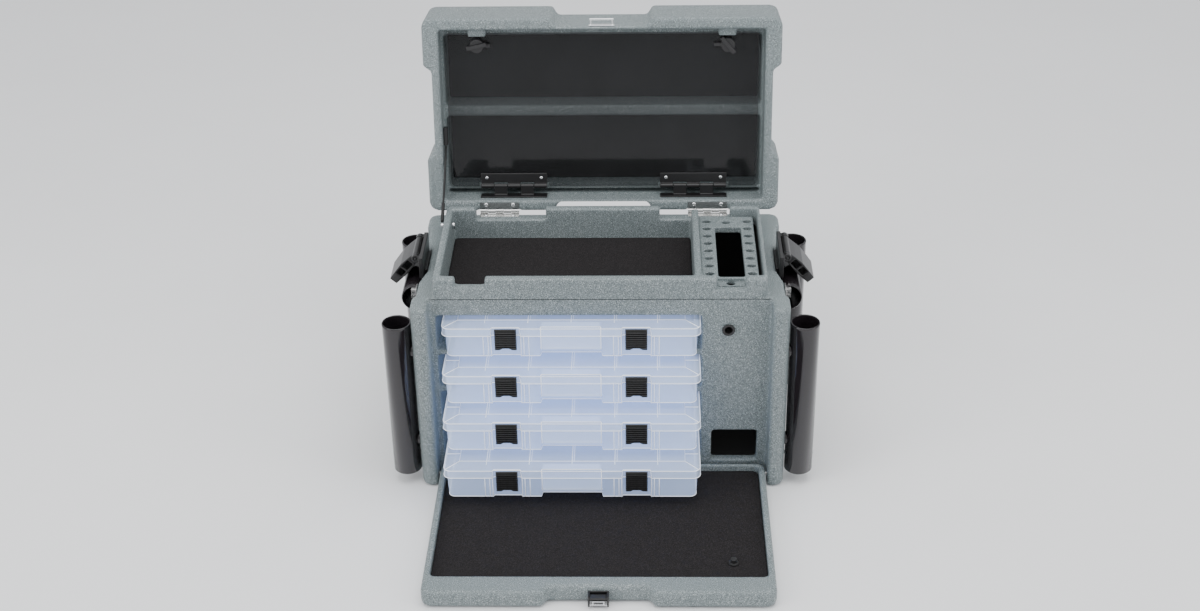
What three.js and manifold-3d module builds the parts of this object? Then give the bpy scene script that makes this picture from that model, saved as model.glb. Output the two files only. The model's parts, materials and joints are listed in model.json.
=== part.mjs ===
// Fishing tackle box: a rotomoulded chest with a hinged lid, a drop-down front door,
// four slide-out utility trays, a raised top tray, rod tubes and folding side handles.
// Millimetres, +Z up, +Y to the back. The origin is the centre of the base.
import * as THREE from 'three';
import { mergeVertices } from 'three/addons/utils/BufferGeometryUtils.js';
import Module from 'manifold-3d';

const wasm = await Module();
wasm.setup();

// ---- driving dimensions ----
const GAP = 0.3;                 // clearance between pieces that touch
const HALF_WIDTH = 264;          // body at the corner pillars
const WAIST = 250;               // body at the middle of each side
const HALF_DEPTH = 144;          // body, front to back
const DECK = 300;                // top of the pillars and of the deck round the top tray
const PILLAR_INNER = 240;        // inner face of the front pillars
const PANEL_Y = -113;            // front panel, set back between the pillars
const EDGE_ROUND = 12;           // vertical corners of the mouldings
const EDGE_BEVEL = 4;            // top and bottom edges of the mouldings

const TRAY_TOP = 331;            // top tray walls
const TRAY_OUT = 233;            // top tray, outer half width
const TRAY_IN = 223;             // top tray, inner half width
const TRAY_FLOOR = 278;
const TRAY_FRONT_IN = -99;       // inner face of the front wall
const TRAY_BACK_IN = 98;
const TRAY_BACK_OUT = 111;
const DIVIDER = [132, 142];      // wall between the lined bay and the lure rack

const BAY = { x: [-232, 142], back: 127, z: [30, 272] };
const WELL = { x: [150, 228], back: 100, floor: 24 };
const WINDOW = { x: [159, 225], z: [26, 78], corner: 3 };
const GROMMET = { x: 180, z: 249, outer: 9, hole: 5.5 };

const BOX_W = 364;               // utility tray
const BOX_D = 232;
const BOX_H = 49;
const BOX_X = -41;
const BOX_PITCH = 61.5;
const BOX_FLOOR = 30.5;
const BOX_WALL = 2;
const SKIRT = 13;
const TRAY_OUTSTEP = [21, 48, 75, 103];   // how far each tray stands out of the panel
const LATCH_X = 91.5;
const LATCH_RIBS = 5;

const LEAN = 9;                  // lid past upright, on its stay
const HINGE_Y = 145;
const HINGE_Z = 304;
const RIM_Z = 302;               // lid rim when the lid is shut
const LID_LENGTH = 295;
const LID_DEPTH = 98;
const LID_WAIST = 252;
const COVER_DEPTH = 31;          // clear cover below the rim
const LINER_DEPTH = 80;
const LID_OPEN = { half: 240, from: 16, to: 277 };

const DOOR = { half: 237.5, from: -119, length: 296, thick: 25, base: 0.5 };
const DOOR_AXIS = { y: -127.5, z: 12 };
const NOTCH = { half: 67, flare: 8, depth: 13 };

const TUBE = { radius: 20.5, wall: 2, x: 286, z: [19, 267], y: [-121, 119] };
const SIDE_TUBE = { x: 267.5, z: 261.5, y: [-45, 92] };
const GROOVE = { clearance: 1.2, end: 3, depth: 6 };   // groove in the body for a side tube
const SADDLE = { y: [-36, 70], width: 14, height: 14, reach: GROOVE.clearance - GAP };
const GRIP_AXIS = { x: 265, z: 320 };
const GRIP_LENGTH = 50;
const STAY = { bolt: [76, 316], outside: -237.5, radius: 1.8 };   // bolt axis as [y, z]

// ---- small solid helpers ----
const rad = THREE.MathUtils.degToRad;

function toSolid(geometry) {
  const bare = geometry.index ? geometry.toNonIndexed() : geometry.clone();
  for (const name of Object.keys(bare.attributes)) {
    if (name !== 'position') bare.deleteAttribute(name);
  }
  const merged = mergeVertices(bare, 1e-4);
  return new wasm.Manifold(new wasm.Mesh({
    numProp: 3,
    vertProperties: new Float32Array(merged.attributes.position.array),
    triVerts: new Uint32Array(merged.index.array),
  }));
}

function toGeometry(solid) {
  const mesh = solid.getMesh();
  const geometry = new THREE.BufferGeometry();
  geometry.setAttribute('position', new THREE.BufferAttribute(mesh.vertProperties, 3));
  geometry.setIndex(new THREE.BufferAttribute(mesh.triVerts, 1));
  geometry.computeVertexNormals();
  return geometry;
}

function block(x, y, z) {
  const geometry = new THREE.BoxGeometry(x[1] - x[0], y[1] - y[0], z[1] - z[0]);
  geometry.translate((x[0] + x[1]) / 2, (y[0] + y[1]) / 2, (z[0] + z[1]) / 2);
  return toSolid(geometry);
}

function outline(points) {
  return new THREE.Shape(points.map(([x, y]) => new THREE.Vector2(x, y)));
}

function roundedRect(x, y, r) {
  const shape = new THREE.Shape();
  shape.moveTo(x[0] + r, y[0]);
  shape.lineTo(x[1] - r, y[0]);
  shape.absarc(x[1] - r, y[0] + r, r, -Math.PI / 2, 0);
  shape.lineTo(x[1], y[1] - r);
  shape.absarc(x[1] - r, y[1] - r, r, 0, Math.PI / 2);
  shape.lineTo(x[0] + r, y[1]);
  shape.absarc(x[0] + r, y[1] - r, r, Math.PI / 2, Math.PI);
  shape.lineTo(x[0], y[0] + r);
  shape.absarc(x[0] + r, y[0] + r, r, Math.PI, Math.PI * 1.5);
  return shape;
}

function upright(shape, z, curveSegments = 4) {
  const geometry = new THREE.ExtrudeGeometry(shape, {
    depth: z[1] - z[0], bevelEnabled: false, curveSegments,
  });
  geometry.translate(0, 0, z[0]);
  return toSolid(geometry);
}

// A slab whose top and bottom edges are rounded over.
function softSlab(shape, z, edge, curveSegments = 4) {
  const geometry = new THREE.ExtrudeGeometry(shape, {
    depth: z[1] - z[0] - 2 * edge, bevelEnabled: true, bevelThickness: edge, bevelSize: edge,
    bevelOffset: -edge, bevelSegments: 2, curveSegments,
  });
  geometry.translate(0, 0, z[0] + edge);
  return toSolid(geometry);
}

function rod(axis, centre, span, radius, sides = 16) {
  const geometry = new THREE.CylinderGeometry(radius, radius, span[1] - span[0], sides);
  const middle = (span[0] + span[1]) / 2;
  if (axis === 'x') geometry.rotateZ(Math.PI / 2).translate(middle, centre[0], centre[1]);
  if (axis === 'y') geometry.translate(centre[0], middle, centre[1]);
  if (axis === 'z') geometry.rotateX(Math.PI / 2).translate(centre[0], centre[1], middle);
  return toSolid(geometry);
}

const join = (...solids) => solids.reduce((a, b) => a.add(b));
const cut = (solid, ...tools) => tools.reduce((a, b) => a.subtract(b), solid);

const materials = {
  shell: { color: 0x8c999b, roughness: 0.62, metalness: 0 },
  foam: { color: 0x2d2a2a, roughness: 0.95, metalness: 0 },
  clear: { color: 0xc9d3e6, roughness: 0.18, metalness: 0 },
  cover: { color: 0x6f7678, roughness: 0.08, metalness: 0 },
  tube: { color: 0x4a4648, roughness: 0.16, metalness: 0 },
  black: { color: 0x1c1b1c, roughness: 0.4, metalness: 0 },
  rubber: { color: 0x161616, roughness: 0.7, metalness: 0 },
  steel: { color: 0xc2c4c4, roughness: 0.28, metalness: 1 },
  chrome: { color: 0xdadcde, roughness: 0.1, metalness: 1 },
};

const tackleBox = new THREE.Group();

function part(name, solid, finish, group = tackleBox) {
  const mesh = new THREE.Mesh(toGeometry(solid), new THREE.MeshStandardMaterial(materials[finish]));
  mesh.name = name;
  group.add(mesh);
  return mesh;
}

// ---- body ----
// Plan outline of the body: corner pillars, waisted sides, a grip recess at the back.
function bodyPlan() {
  const right = [
    [PILLAR_INNER, PANEL_Y], [PILLAR_INNER, -HALF_DEPTH + 3], [PILLAR_INNER + 3, -HALF_DEPTH],
    [HALF_WIDTH - EDGE_ROUND, -HALF_DEPTH], [HALF_WIDTH - 3.5, -HALF_DEPTH + 3.5],
    [HALF_WIDTH, -HALF_DEPTH + EDGE_ROUND], [HALF_WIDTH, -107], [259, -101], [259, -64],
    [WAIST, -29], [WAIST, 29], [259, 64], [259, 101], [HALF_WIDTH, 107],
    [HALF_WIDTH, HALF_DEPTH - EDGE_ROUND], [HALF_WIDTH - 3.5, HALF_DEPTH - 3.5],
    [HALF_WIDTH - EDGE_ROUND, HALF_DEPTH], [NOTCH.half + NOTCH.flare, HALF_DEPTH],
    [NOTCH.half, HALF_DEPTH - NOTCH.depth],
  ];
  const left = right.map(([x, y]) => [-x, y]).reverse();
  return outline([...right, ...left]);
}

function topTrayWalls() {
  const wall = upright(roundedRect([-TRAY_OUT, TRAY_OUT], [PANEL_Y, TRAY_BACK_OUT], 8),
    [DECK - 10, TRAY_TOP]);
  const hingeGaps = [-1, 1].map((side) => {
    const x = [85 * side, 189 * side].sort((a, b) => a - b);
    return block(x, [TRAY_BACK_IN - 1, TRAY_BACK_OUT + 1], [313, TRAY_TOP + 1]);
  });
  const knobNotchLeft = block([-202, -160], [PANEL_Y - 1, TRAY_FRONT_IN + 1], [317, TRAY_TOP + 1]);
  const knobNotchRight = block([163, 203], [PANEL_Y - 1, TRAY_FRONT_IN + 1], [312, TRAY_TOP + 1]);
  return cut(wall, ...hingeGaps, knobNotchLeft, knobNotchRight);
}

function shelfRails() {
  const rails = [];
  for (let i = 0; i < 3; i += 1) {
    const top = BOX_FLOOR + BOX_PITCH * (3 - i) - GAP;
    rails.push(block([BAY.x[0] - 1, -211], [PANEL_Y + 1, BAY.back + 1], [top - 8, top]));
    rails.push(block([130, BAY.x[1] + 1], [PANEL_Y + 1, BAY.back + 1], [top - 8, top]));
  }
  return rails;
}

function bodyShell() {
  const moulding = softSlab(bodyPlan(), [0, DECK], EDGE_BEVEL);
  const bay = block(BAY.x, [PANEL_Y - 1, BAY.back], BAY.z);
  const well = block(WELL.x, [TRAY_FRONT_IN, WELL.back], [WELL.floor, TRAY_TOP + 1]);
  const window = upright(roundedRect(WINDOW.x, WINDOW.z, WINDOW.corner), [0, 30])
    .rotate([90, 0, 0]).translate([0, PANEL_Y + 29, 0]);
  const lined = block([-TRAY_IN, DIVIDER[0]], [TRAY_FRONT_IN, TRAY_BACK_IN],
    [TRAY_FLOOR, TRAY_TOP + 1]);
  const rackBay = block([DIVIDER[1], TRAY_IN], [TRAY_FRONT_IN, TRAY_BACK_IN], [308, TRAY_TOP + 1]);
  const grommetHole = rod('y', [GROMMET.x, GROMMET.z], [PANEL_Y - 1, TRAY_FRONT_IN + 2],
    GROMMET.hole + 1.8, 24);
  const seam = block([-PILLAR_INNER, PILLAR_INNER], [PANEL_Y - 1, PANEL_Y + 0.8], [298.4, 299.6]);
  const grooves = [-1, 1].map((side) => rod('y', [side * SIDE_TUBE.x, SIDE_TUBE.z],
    [SIDE_TUBE.y[0] - GROOVE.end, SIDE_TUBE.y[1] + GROOVE.end], TUBE.radius + GROOVE.clearance, 28));
  const pinHoles = [-1, 1].map((side) => {
    const x = [side * (DOOR.half - 1), side * 257].sort((a, b) => a - b);
    return rod('x', [DOOR_AXIS.y, DOOR_AXIS.z], x, 3 + GAP, 16);
  });
  const boltHole = rod('x', STAY.bolt, [-TRAY_OUT - 1, -TRAY_IN + 1], 3 + GAP, 12);
  const hollow = cut(join(moulding, topTrayWalls()), bay, well, window, lined, rackBay, grommetHole,
    seam, ...grooves, ...pinHoles, boltHole);
  const divider = block(DIVIDER, [TRAY_FRONT_IN - 1, TRAY_BACK_IN + 1], [TRAY_FLOOR - 2, TRAY_TOP]);
  return join(hollow, divider, ...shelfRails());
}

function trayLiner() {
  const sheet = upright(roundedRect([-TRAY_IN + 1, DIVIDER[0] - 1],
    [TRAY_FRONT_IN + 1, TRAY_BACK_IN - 1], 5), [TRAY_FLOOR + GAP, TRAY_FLOOR + 6]);
  return sheet;
}

// Lure rack: a deck with two columns of oval hook holes round an open well.
const RACK = { z: [308 + GAP, 318], rows: 8, columns: [153.5, 213.5], first: -74, pitch: 22.3 };
const RACK_WELL = { x: [165.5, 203.5], y: [-83, 64] };

function ovalHole(x, y) {
  const shape = new THREE.Shape();
  shape.absellipse(x, y, 6.8, 4.6, 0, Math.PI * 2);
  return upright(shape, [RACK.z[0] - 1, RACK.z[1] + 1], 5);
}

function lureRack() {
  const deck = upright(roundedRect([DIVIDER[1] + 0.5, TRAY_IN - 0.5],
    [TRAY_FRONT_IN + 0.5, TRAY_BACK_IN - 0.5], 4), RACK.z);
  const notchShelf = block([164, 202], [TRAY_FRONT_IN, -88], [312.3, RACK.z[1] + 1]);
  const well = upright(roundedRect(RACK_WELL.x, RACK_WELL.y, 4), [RACK.z[0] - 1, RACK.z[1] + 1]);
  const holes = [ovalHole(182.5, 79), ovalHole(182.5, -92)];
  for (const x of RACK.columns) {
    for (let i = 0; i < RACK.rows; i += 1) holes.push(ovalHole(x, RACK.first + RACK.pitch * i));
  }
  return cut(deck, notchShelf, well, ...holes);
}

function grommet() {
  const flange = rod('y', [GROMMET.x, GROMMET.z], [PANEL_Y - 2.2, PANEL_Y - GAP], GROMMET.outer, 24);
  const sleeve = rod('y', [GROMMET.x, GROMMET.z], [PANEL_Y - 1, PANEL_Y + 12],
    GROMMET.hole + 1.5, 24);
  const bore = rod('y', [GROMMET.x, GROMMET.z], [PANEL_Y - 3, PANEL_Y + 13], GROMMET.hole, 24);
  return cut(join(flange, sleeve), bore);
}

part('body_shell', bodyShell(), 'shell');
part('tray_liner', trayLiner(), 'foam');
part('lure_rack', lureRack(), 'shell');
part('panel_grommet', grommet(), 'black');

// ---- rod tubes and side tubes ----
function ring(axis, centre, span, radius, wall) {
  const inside = [span[0] - 1, span[1] + 1];
  return cut(rod(axis, centre, span, radius, 28), rod(axis, centre, inside, radius - wall, 28));
}

function rodTube(side, y) {
  const centre = [side * TUBE.x, y];
  const bore = rod('z', centre, [TUBE.z[0] - 1, TUBE.z[1] + 1], TUBE.radius - TUBE.wall / 2, 28);
  const rear = side > 0 ? [HALF_WIDTH + GAP, TUBE.x] : [-TUBE.x, -HALF_WIDTH - GAP];
  const feet = [60, 210].map((z) => cut(block(rear, [y - 7, y + 7], [z, z + 22]), bore));
  const reach = TUBE.radius + 1;
  const stop = rod('x', [y, 46], [side * TUBE.x - reach, side * TUBE.x + reach], 2.2, 8);
  return join(ring('z', centre, TUBE.z, TUBE.radius, TUBE.wall), ...feet, stop);
}

// A side tube lies along the body in a groove, on two saddle pads.
function sideTube(side) {
  const centre = [side * SIDE_TUBE.x, SIDE_TUBE.z];
  const { reach, width, height } = SADDLE;
  const pads = SADDLE.y.map((y) => ring('y', centre, [y, y + width], TUBE.radius + reach, reach + 1)
    .intersect(block([side * WAIST, side * (WAIST - GROOVE.depth)].sort((a, b) => a - b),
      [y, y + width], [SIDE_TUBE.z - height / 2, SIDE_TUBE.z + height / 2])));
  return join(ring('y', centre, SIDE_TUBE.y, TUBE.radius, TUBE.wall), ...pads);
}

const SIDES = [['left', -1], ['right', 1]];
for (const [word, side] of SIDES) {
  part(`rod_tube_front_${word}`, rodTube(side, TUBE.y[0]), 'tube');
  part(`rod_tube_rear_${word}`, rodTube(side, TUBE.y[1]), 'tube');
  part(`side_tube_${word}`, sideTube(side), 'tube');
}

// ---- side handles ----
// Everything here is drawn for the right-hand side and mirrored for the left.
function mirrored(solid, side) {
  return side > 0 ? solid : solid.mirror([1, 0, 0]);
}

function handlePlate() {
  const foot = block([WAIST + GAP, 260], [-28, 28], [284, 300]);
  const back = block([254, 260], [-40, 40], [292, 324]);
  const lugs = [-1, 1].map((end) => {
    const y = [end * 26, end * 34].sort((a, b) => a - b);
    return join(rod('y', [GRIP_AXIS.x, GRIP_AXIS.z], y, 6, 16),
      block([256, GRIP_AXIS.x], y, [GRIP_AXIS.z - 6, GRIP_AXIS.z + 4]));
  });
  const bores = rod('y', [GRIP_AXIS.x, GRIP_AXIS.z], [-36, 36], 2.5 + GAP, 16);
  const seat = rod('y', [GRIP_AXIS.x, GRIP_AXIS.z], [-26, 26], 7, 16);
  return cut(join(foot, back, ...lugs), bores, cut(seat, block([250, 257.5], [-27, 27], [300, 330])));
}

// Grip: an extruded profile with a barrel, a waisted web with a slot, and a square tip.
function grip() {
  const reach = 55;
  const profile = outline([
    [0, -4.6], [12, -7.5], [28, -9], [42, -8], [reach, -7], [reach, 5], [42, 6.5], [26, 8], [12, 6.5],
    [0, 4.6],
  ]);
  const web = new THREE.ExtrudeGeometry(profile, { depth: GRIP_LENGTH, bevelEnabled: false });
  web.rotateX(Math.PI / 2).translate(0, GRIP_LENGTH / 2, 0);
  const barrel = rod('y', [0, 0], [-GRIP_LENGTH / 2, GRIP_LENGTH / 2], 5.4, 16);
  const slots = [[14, 27], [30, 41]].map(([from, to]) => block([from, to],
    [-GRIP_LENGTH, GRIP_LENGTH], [-5.2, 4.6]));
  const pin = rod('y', [0, 0], [-34, 34], 2.5, 16);
  const swing = -(90 - 42);
  return cut(join(toSolid(web), barrel), ...slots).add(pin)
    .rotate([0, -swing, 0]).translate([GRIP_AXIS.x, 0, GRIP_AXIS.z]);
}

function sideBracket() {
  const plate = block([259.3, 261.2], [-84, -66], [278, 298]);
  const eye = block([261, 268], [-78, -72], [281, 295]);
  const hole = rod('y', [265, 288], [-80, -70], 1.8, 12);
  return cut(join(plate, eye), hole);
}

for (const [word, side] of SIDES) {
  part(`handle_plate_${word}`, mirrored(handlePlate(), side), 'black');
  part(`handle_grip_${word}`, mirrored(grip(), side), 'black');
  part(`side_bracket_${word}`, mirrored(sideBracket(), side), 'steel');
}

// ---- lid, drawn shut about its hinge line and then swung open ----
const lid = new THREE.Group();
lid.position.set(0, HINGE_Y, HINGE_Z);
lid.rotation.x = -rad(90 + LEAN);
tackleBox.add(lid);
const RIM = RIM_Z - HINGE_Z;               // rim height in the lid's own frame
const along = (s) => HALF_DEPTH - HINGE_Y - s;   // distance from the hinge edge, as local y
const deep = (d) => RIM + d;               // depth below the rim, as local z
const span = (a, b) => [Math.min(a, b), Math.max(a, b)];

function lidPlan() {
  const free = along(LID_LENGTH);
  const back = along(0);
  const right = [
    [NOTCH.half, free + NOTCH.depth], [NOTCH.half + NOTCH.flare, free],
    [HALF_WIDTH - EDGE_ROUND, free], [HALF_WIDTH - 3.5, free + 3.5], [HALF_WIDTH, free + EDGE_ROUND],
    [HALF_WIDTH, along(224)], [LID_WAIST, along(215)], [LID_WAIST, along(93)],
    [HALF_WIDTH, along(80)], [HALF_WIDTH, back - EDGE_ROUND], [HALF_WIDTH - 3.5, back - 3.5],
    [HALF_WIDTH - EDGE_ROUND, back], [NOTCH.half + NOTCH.flare, back],
    [NOTCH.half, back - NOTCH.depth],
  ];
  const left = right.map(([x, y]) => [-x, y]).reverse();
  return outline([...right, ...left]);
}

const TAB = { x: [171, 198], s: [264, 281], d: [16, 26] };   // catches for the cover's knobs
const SEAT = { x: [126, 189], depth: 1.8, radius: 4.6 };     // recess for a butt hinge

function lidShell() {
  const crown = 12;
  const outer = softSlab(lidPlan(), [deep(-crown), deep(LID_DEPTH)], crown)
    .subtract(block([-300, 300], span(along(-20), along(320)), [deep(-crown - 1), deep(0)]));
  const y = (a, b) => span(along(a), along(b));
  const mouth = block([-LID_OPEN.half, LID_OPEN.half], y(LID_OPEN.from, LID_OPEN.to),
    [deep(-1), deep(COVER_DEPTH + 5)]);
  const lower = block([-236, 236], y(26, 138), [deep(COVER_DEPTH), deep(LINER_DEPTH + 5)]);
  const upper = block([-236, 236], y(154.5, 262), [deep(COVER_DEPTH), deep(LINER_DEPTH + 5)]);
  const shelf = block([-238, 238], y(LID_OPEN.from + 1, 24), [deep(COVER_DEPTH + 2), deep(60)]);
  const tabs = [-1, 1].map((side) => block(span(side * TAB.x[0], side * TAB.x[1]), y(...TAB.s),
    [deep(TAB.d[0]), deep(TAB.d[1])]));
  const hingeSeats = [-1, 1].map((side) => join(
    block(span(side * SEAT.x[0], side * SEAT.x[1]), y(-2, 15), [deep(-3), deep(SEAT.depth)]),
    rod('x', [0, 0], span(side * SEAT.x[0], side * SEAT.x[1]), SEAT.radius, 16),
  ));
  return join(cut(outer, mouth, lower, upper, ...hingeSeats), ...tabs)
    .subtract(cut(shelf, block([-240, 240], y(10, 40), [deep(0), deep(1)])));
}

function liner(from, to) {
  return upright(roundedRect([-235, 235], span(along(from), along(to)), 4),
    [deep(LINER_DEPTH), deep(LINER_DEPTH + 5 - GAP)]);
}

function keeper() {
  const face = along(LID_LENGTH - NOTCH.depth) - GAP;
  const plate = block([-19, 19], [face - 1.2, face], [deep(2), deep(12)]);
  const legs = [-1, 1].map((side) => rod('y', [side * 16, deep(7)], [face - 9, face], 1.6, 12));
  const bar = rod('x', [face - 9, deep(7)], [-17.6, 17.6], 1.6, 12);
  return join(plate, ...legs, bar);
}

// Butt hinges of the lid: three knuckles on the lid leaf, two on the body leaf.
const BUTT = { x: [128, 187], leaf: 1.4, knuckle: 3.4, pin: 1.5, count: 5 };

function buttLeaf(side, odd, leafSolid) {
  const [from, to] = BUTT.x;
  const step = (to - from) / BUTT.count;
  const knuckles = [];
  for (let i = 0; i < BUTT.count; i += 1) {
    if (i % 2 === (odd ? 1 : 0)) continue;
    const x = span(side * (from + step * i + GAP), side * (from + step * (i + 1) - GAP));
    knuckles.push(rod('x', [0, 0], x, BUTT.knuckle, 16));
    knuckles.push(cut(leafSolid(x), rod('x', [0, 0], [x[0] - 1, x[1] + 1], 2.4, 16)));
  }
  return knuckles;
}

function lidLeaf(side) {
  const x = span(side * BUTT.x[0], side * BUTT.x[1]);
  const plate = block(x, [-14, -4.6], [deep(0.1), deep(0.1) + BUTT.leaf]);
  const tongues = buttLeaf(side, false, (k) => block(k, [-5, 0], [deep(0.1), deep(0.1) + BUTT.leaf]));
  const bore = rod('x', [0, 0], [x[0] - 1, x[1] + 1], BUTT.pin + GAP, 12);
  return join(plate, ...tongues).subtract(bore);
}

// The stay clip screws to the lid's inner left wall, and the stay hangs from it.
const CLIP = { s: [99, 126], x: [-239.7, -234], d: [14, 24] };

function stayClip() {
  const strap = block(CLIP.x, span(along(CLIP.s[0]), along(CLIP.s[1])), [deep(CLIP.d[0]), deep(CLIP.d[1])]);
  const eye = rod('x', [along(103), deep(19)], [CLIP.x[0] - 1, CLIP.x[1] + 1], 2.4, 12);
  return strap.subtract(eye);
}

part('lid_shell', lidShell(), 'shell', lid);
part('lid_liner_lower', liner(27, 137), 'foam', lid);
part('lid_liner_upper', liner(155.5, 261), 'foam', lid);
part('latch_keeper', keeper(), 'chrome', lid);
part('stay_clip', stayClip(), 'black', lid);
for (const [word, side] of SIDES) part(`lid_leaf_${word}`, lidLeaf(side), 'steel', lid);

function bodyLeaf(side) {
  const x = span(side * BUTT.x[0], side * BUTT.x[1]);
  const top = DECK + GAP + BUTT.leaf;
  const plate = block(x, [HINGE_Y - 15, HINGE_Y - 4.6], [DECK + GAP, top]);
  const tongues = buttLeaf(side, true, (k) => block(k, [-5, 0], [DECK + GAP - HINGE_Z, top - HINGE_Z]))
    .map((solid) => solid.translate([0, HINGE_Y, HINGE_Z]));
  const pin = rod('x', [HINGE_Y, HINGE_Z], x, BUTT.pin, 12);
  return join(plate, ...tongues, pin);
}

for (const [word, side] of SIDES) part(`body_leaf_${word}`, bodyLeaf(side), 'steel');

// ---- clear cover inside the lid ----
const COVER = { half: 233, s: [29, 266], thick: 3, axis: { s: 31, d: 26.5 } };
const LEAF = 1.6;                // thickness of the cover's hinge leaf
const PIANO = { x: [86, 187], radius: 3.6, pin: 1.4, count: 5 };

function coverPanel() {
  const y = span(along(COVER.s[0]), along(COVER.s[1]));
  const d = [deep(COVER_DEPTH + GAP), deep(COVER_DEPTH + GAP + COVER.thick)];
  const sheet = upright(roundedRect([-COVER.half, COVER.half], y, 8), d);
  const reliefs = [-1, 1].map((side) => block(span(side * (PIANO.x[0] - 3), side * (PIANO.x[1] + 3)),
    span(along(20), along(35)), [d[0] - 1, d[1] + 1]));
  const knobHoles = [-1, 1].map((side) => rod('z', [side * KNOB.x, along(KNOB.s)],
    [d[0] - 1, d[1] + 1], KNOB.stem + GAP, 16));
  return cut(sheet, ...reliefs, ...knobHoles);
}

const KNOB = { x: 186, s: 248, radius: 10.5, stem: 4, top: 20, wing: 15, cam: 20, half: 3 };

// Turn knob: a thumb wing over a disc, with a cam that swings behind the lid's tab.
function knobBody(side) {
  const centre = [side * KNOB.x, along(KNOB.s)];
  const under = deep(COVER_DEPTH - GAP);
  const disc = rod('z', [0, 0], [deep(24), under], KNOB.radius, 20);
  const wing = block([-KNOB.wing, KNOB.wing], [-KNOB.half, KNOB.half], [deep(KNOB.top), deep(25)]);
  const cam = block(span(0, -side * KNOB.cam), [-KNOB.half, KNOB.half], [deep(27), under]);
  const stem = rod('z', [0, 0], [deep(COVER_DEPTH - 2), deep(COVER_DEPTH + COVER.thick)], KNOB.stem, 16);
  const turn = side > 0 ? 50 : -12;
  return join(disc, stem, wing.rotate([0, 0, turn]), cam).translate([centre[0], centre[1], 0]);
}

function pianoKnuckles(side, odd) {
  const [from, to] = PIANO.x;
  const step = (to - from) / PIANO.count;
  const knuckles = [];
  for (let i = odd ? 0 : 1; i < PIANO.count; i += 2) {
    const x = span(side * (from + step * i + GAP), side * (from + step * (i + 1) - GAP));
    knuckles.push({ x, solid: rod('x', [along(COVER.axis.s), deep(COVER.axis.d)], x, PIANO.radius, 12) });
  }
  return knuckles;
}

function pianoBore(side) {
  return rod('x', [along(COVER.axis.s), deep(COVER.axis.d)],
    span(side * (PIANO.x[0] - 1), side * (PIANO.x[1] + 1)), PIANO.pin + GAP, 10);
}

function coverLeaf(side) {
  const x = span(side * PIANO.x[0], side * PIANO.x[1]);
  const sheet = deep(COVER_DEPTH);
  const plate = block(x, span(along(35.6), along(50)), [sheet - LEAF, sheet]);
  const knuckles = pianoKnuckles(side, true);
  const arms = knuckles.map((k) => block(k.x, span(along(COVER.axis.s), along(36)), [sheet - LEAF, sheet]));
  return join(plate, ...arms, ...knuckles.map((k) => k.solid)).subtract(pianoBore(side));
}

function lidHingeBase(side) {
  const x = span(side * PIANO.x[0], side * PIANO.x[1]);
  const wallFace = along(LID_OPEN.from) - GAP;
  const plate = block(x, [wallFace - 2, wallFace], [deep(13), deep(COVER.axis.d + 3.4)]);
  const knuckles = pianoKnuckles(side, false);
  const arms = knuckles.map((k) => block(k.x, span(along(COVER.axis.s), wallFace - 1),
    [deep(COVER.axis.d - 3.4), deep(COVER.axis.d - 1)]));
  const pin = rod('x', [along(COVER.axis.s), deep(COVER.axis.d)], x, PIANO.pin, 10);
  return join(plate, ...arms, ...knuckles.map((k) => k.solid), pin);
}

part('cover_panel', coverPanel(), 'cover', lid);
for (const [word, side] of SIDES) {
  part(`cover_leaf_${word}`, coverLeaf(side), 'black', lid);
  part(`cover_hinge_base_${word}`, lidHingeBase(side), 'black', lid);
  part(`cover_knob_${word}`, knobBody(side), 'black', lid);
}

// ---- lid stay: a cord from the clip to a bolt through the top tray's left wall ----

function lidToWorld(x, s, d) {
  return new THREE.Vector3(x, along(s), deep(d))
    .applyAxisAngle(new THREE.Vector3(1, 0, 0), lid.rotation.x)
    .add(lid.position);
}

function lidStay() {
  const top = lidToWorld(-237, 96.5, 19);
  const foot = new THREE.Vector3(STAY.outside, STAY.bolt[0], STAY.bolt[1] + 6.5);
  const path = new THREE.CatmullRomCurve3([top, top.clone().lerp(foot, 0.5), foot]);
  const section = new THREE.Shape();
  section.absarc(0, 0, STAY.radius, 0, Math.PI * 2);
  return toSolid(new THREE.ExtrudeGeometry(section, {
    extrudePath: path, steps: 20, curveSegments: 4, bevelEnabled: false,
  }));
}

function stayBolt() {
  const shank = rod('x', STAY.bolt, [STAY.outside - 2, -TRAY_IN + 3], 3, 16);
  const head = rod('x', STAY.bolt, [-TRAY_IN + GAP, -TRAY_IN + 4], 5.5, 16);
  const washer = rod('x', STAY.bolt, [STAY.outside - 2, STAY.outside + 2], 4.2, 16);
  return join(shank, head, washer);
}

part('lid_stay', lidStay(), 'rubber');
part('stay_bolt', stayBolt(), 'chrome');

// ---- front door, lying flat in front of the box ----
const doorFar = DOOR.from - DOOR.length;

function doorShell() {
  const top = DOOR.base + DOOR.thick;
  const plan = outline([
    [-DOOR.half + 8, DOOR.from], [-DOOR.half, DOOR.from - 8], [-DOOR.half, doorFar + 12],
    [-DOOR.half + 3.5, doorFar + 3.5], [-DOOR.half + 12, doorFar],
    [-NOTCH.half - NOTCH.flare, doorFar], [-NOTCH.half, doorFar + NOTCH.depth],
    [NOTCH.half, doorFar + NOTCH.depth], [NOTCH.half + NOTCH.flare, doorFar],
    [DOOR.half - 12, doorFar], [DOOR.half - 3.5, doorFar + 3.5], [DOOR.half, doorFar + 12],
    [DOOR.half, DOOR.from - 8], [DOOR.half - 8, DOOR.from],
  ].reverse());
  const slab = softSlab(plan, [DOOR.base, top], 5);
  const recess = upright(roundedRect([-228, 228], [doorFar + 36, DOOR.from - 8], 8), [8, top + 1]);
  const pins = [-1, 1].map((side) => rod('x', [DOOR_AXIS.y, DOOR_AXIS.z],
    span(side * 229, side * (DOOR.half + 1)), 3 + GAP, 16));
  return cut(slab, recess, ...pins);
}

function doorLiner() {
  return upright(roundedRect([-227.5, 227.5], [doorFar + 36.5, DOOR.from - 8.5], 8), [8 + GAP, 16]);
}

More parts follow.
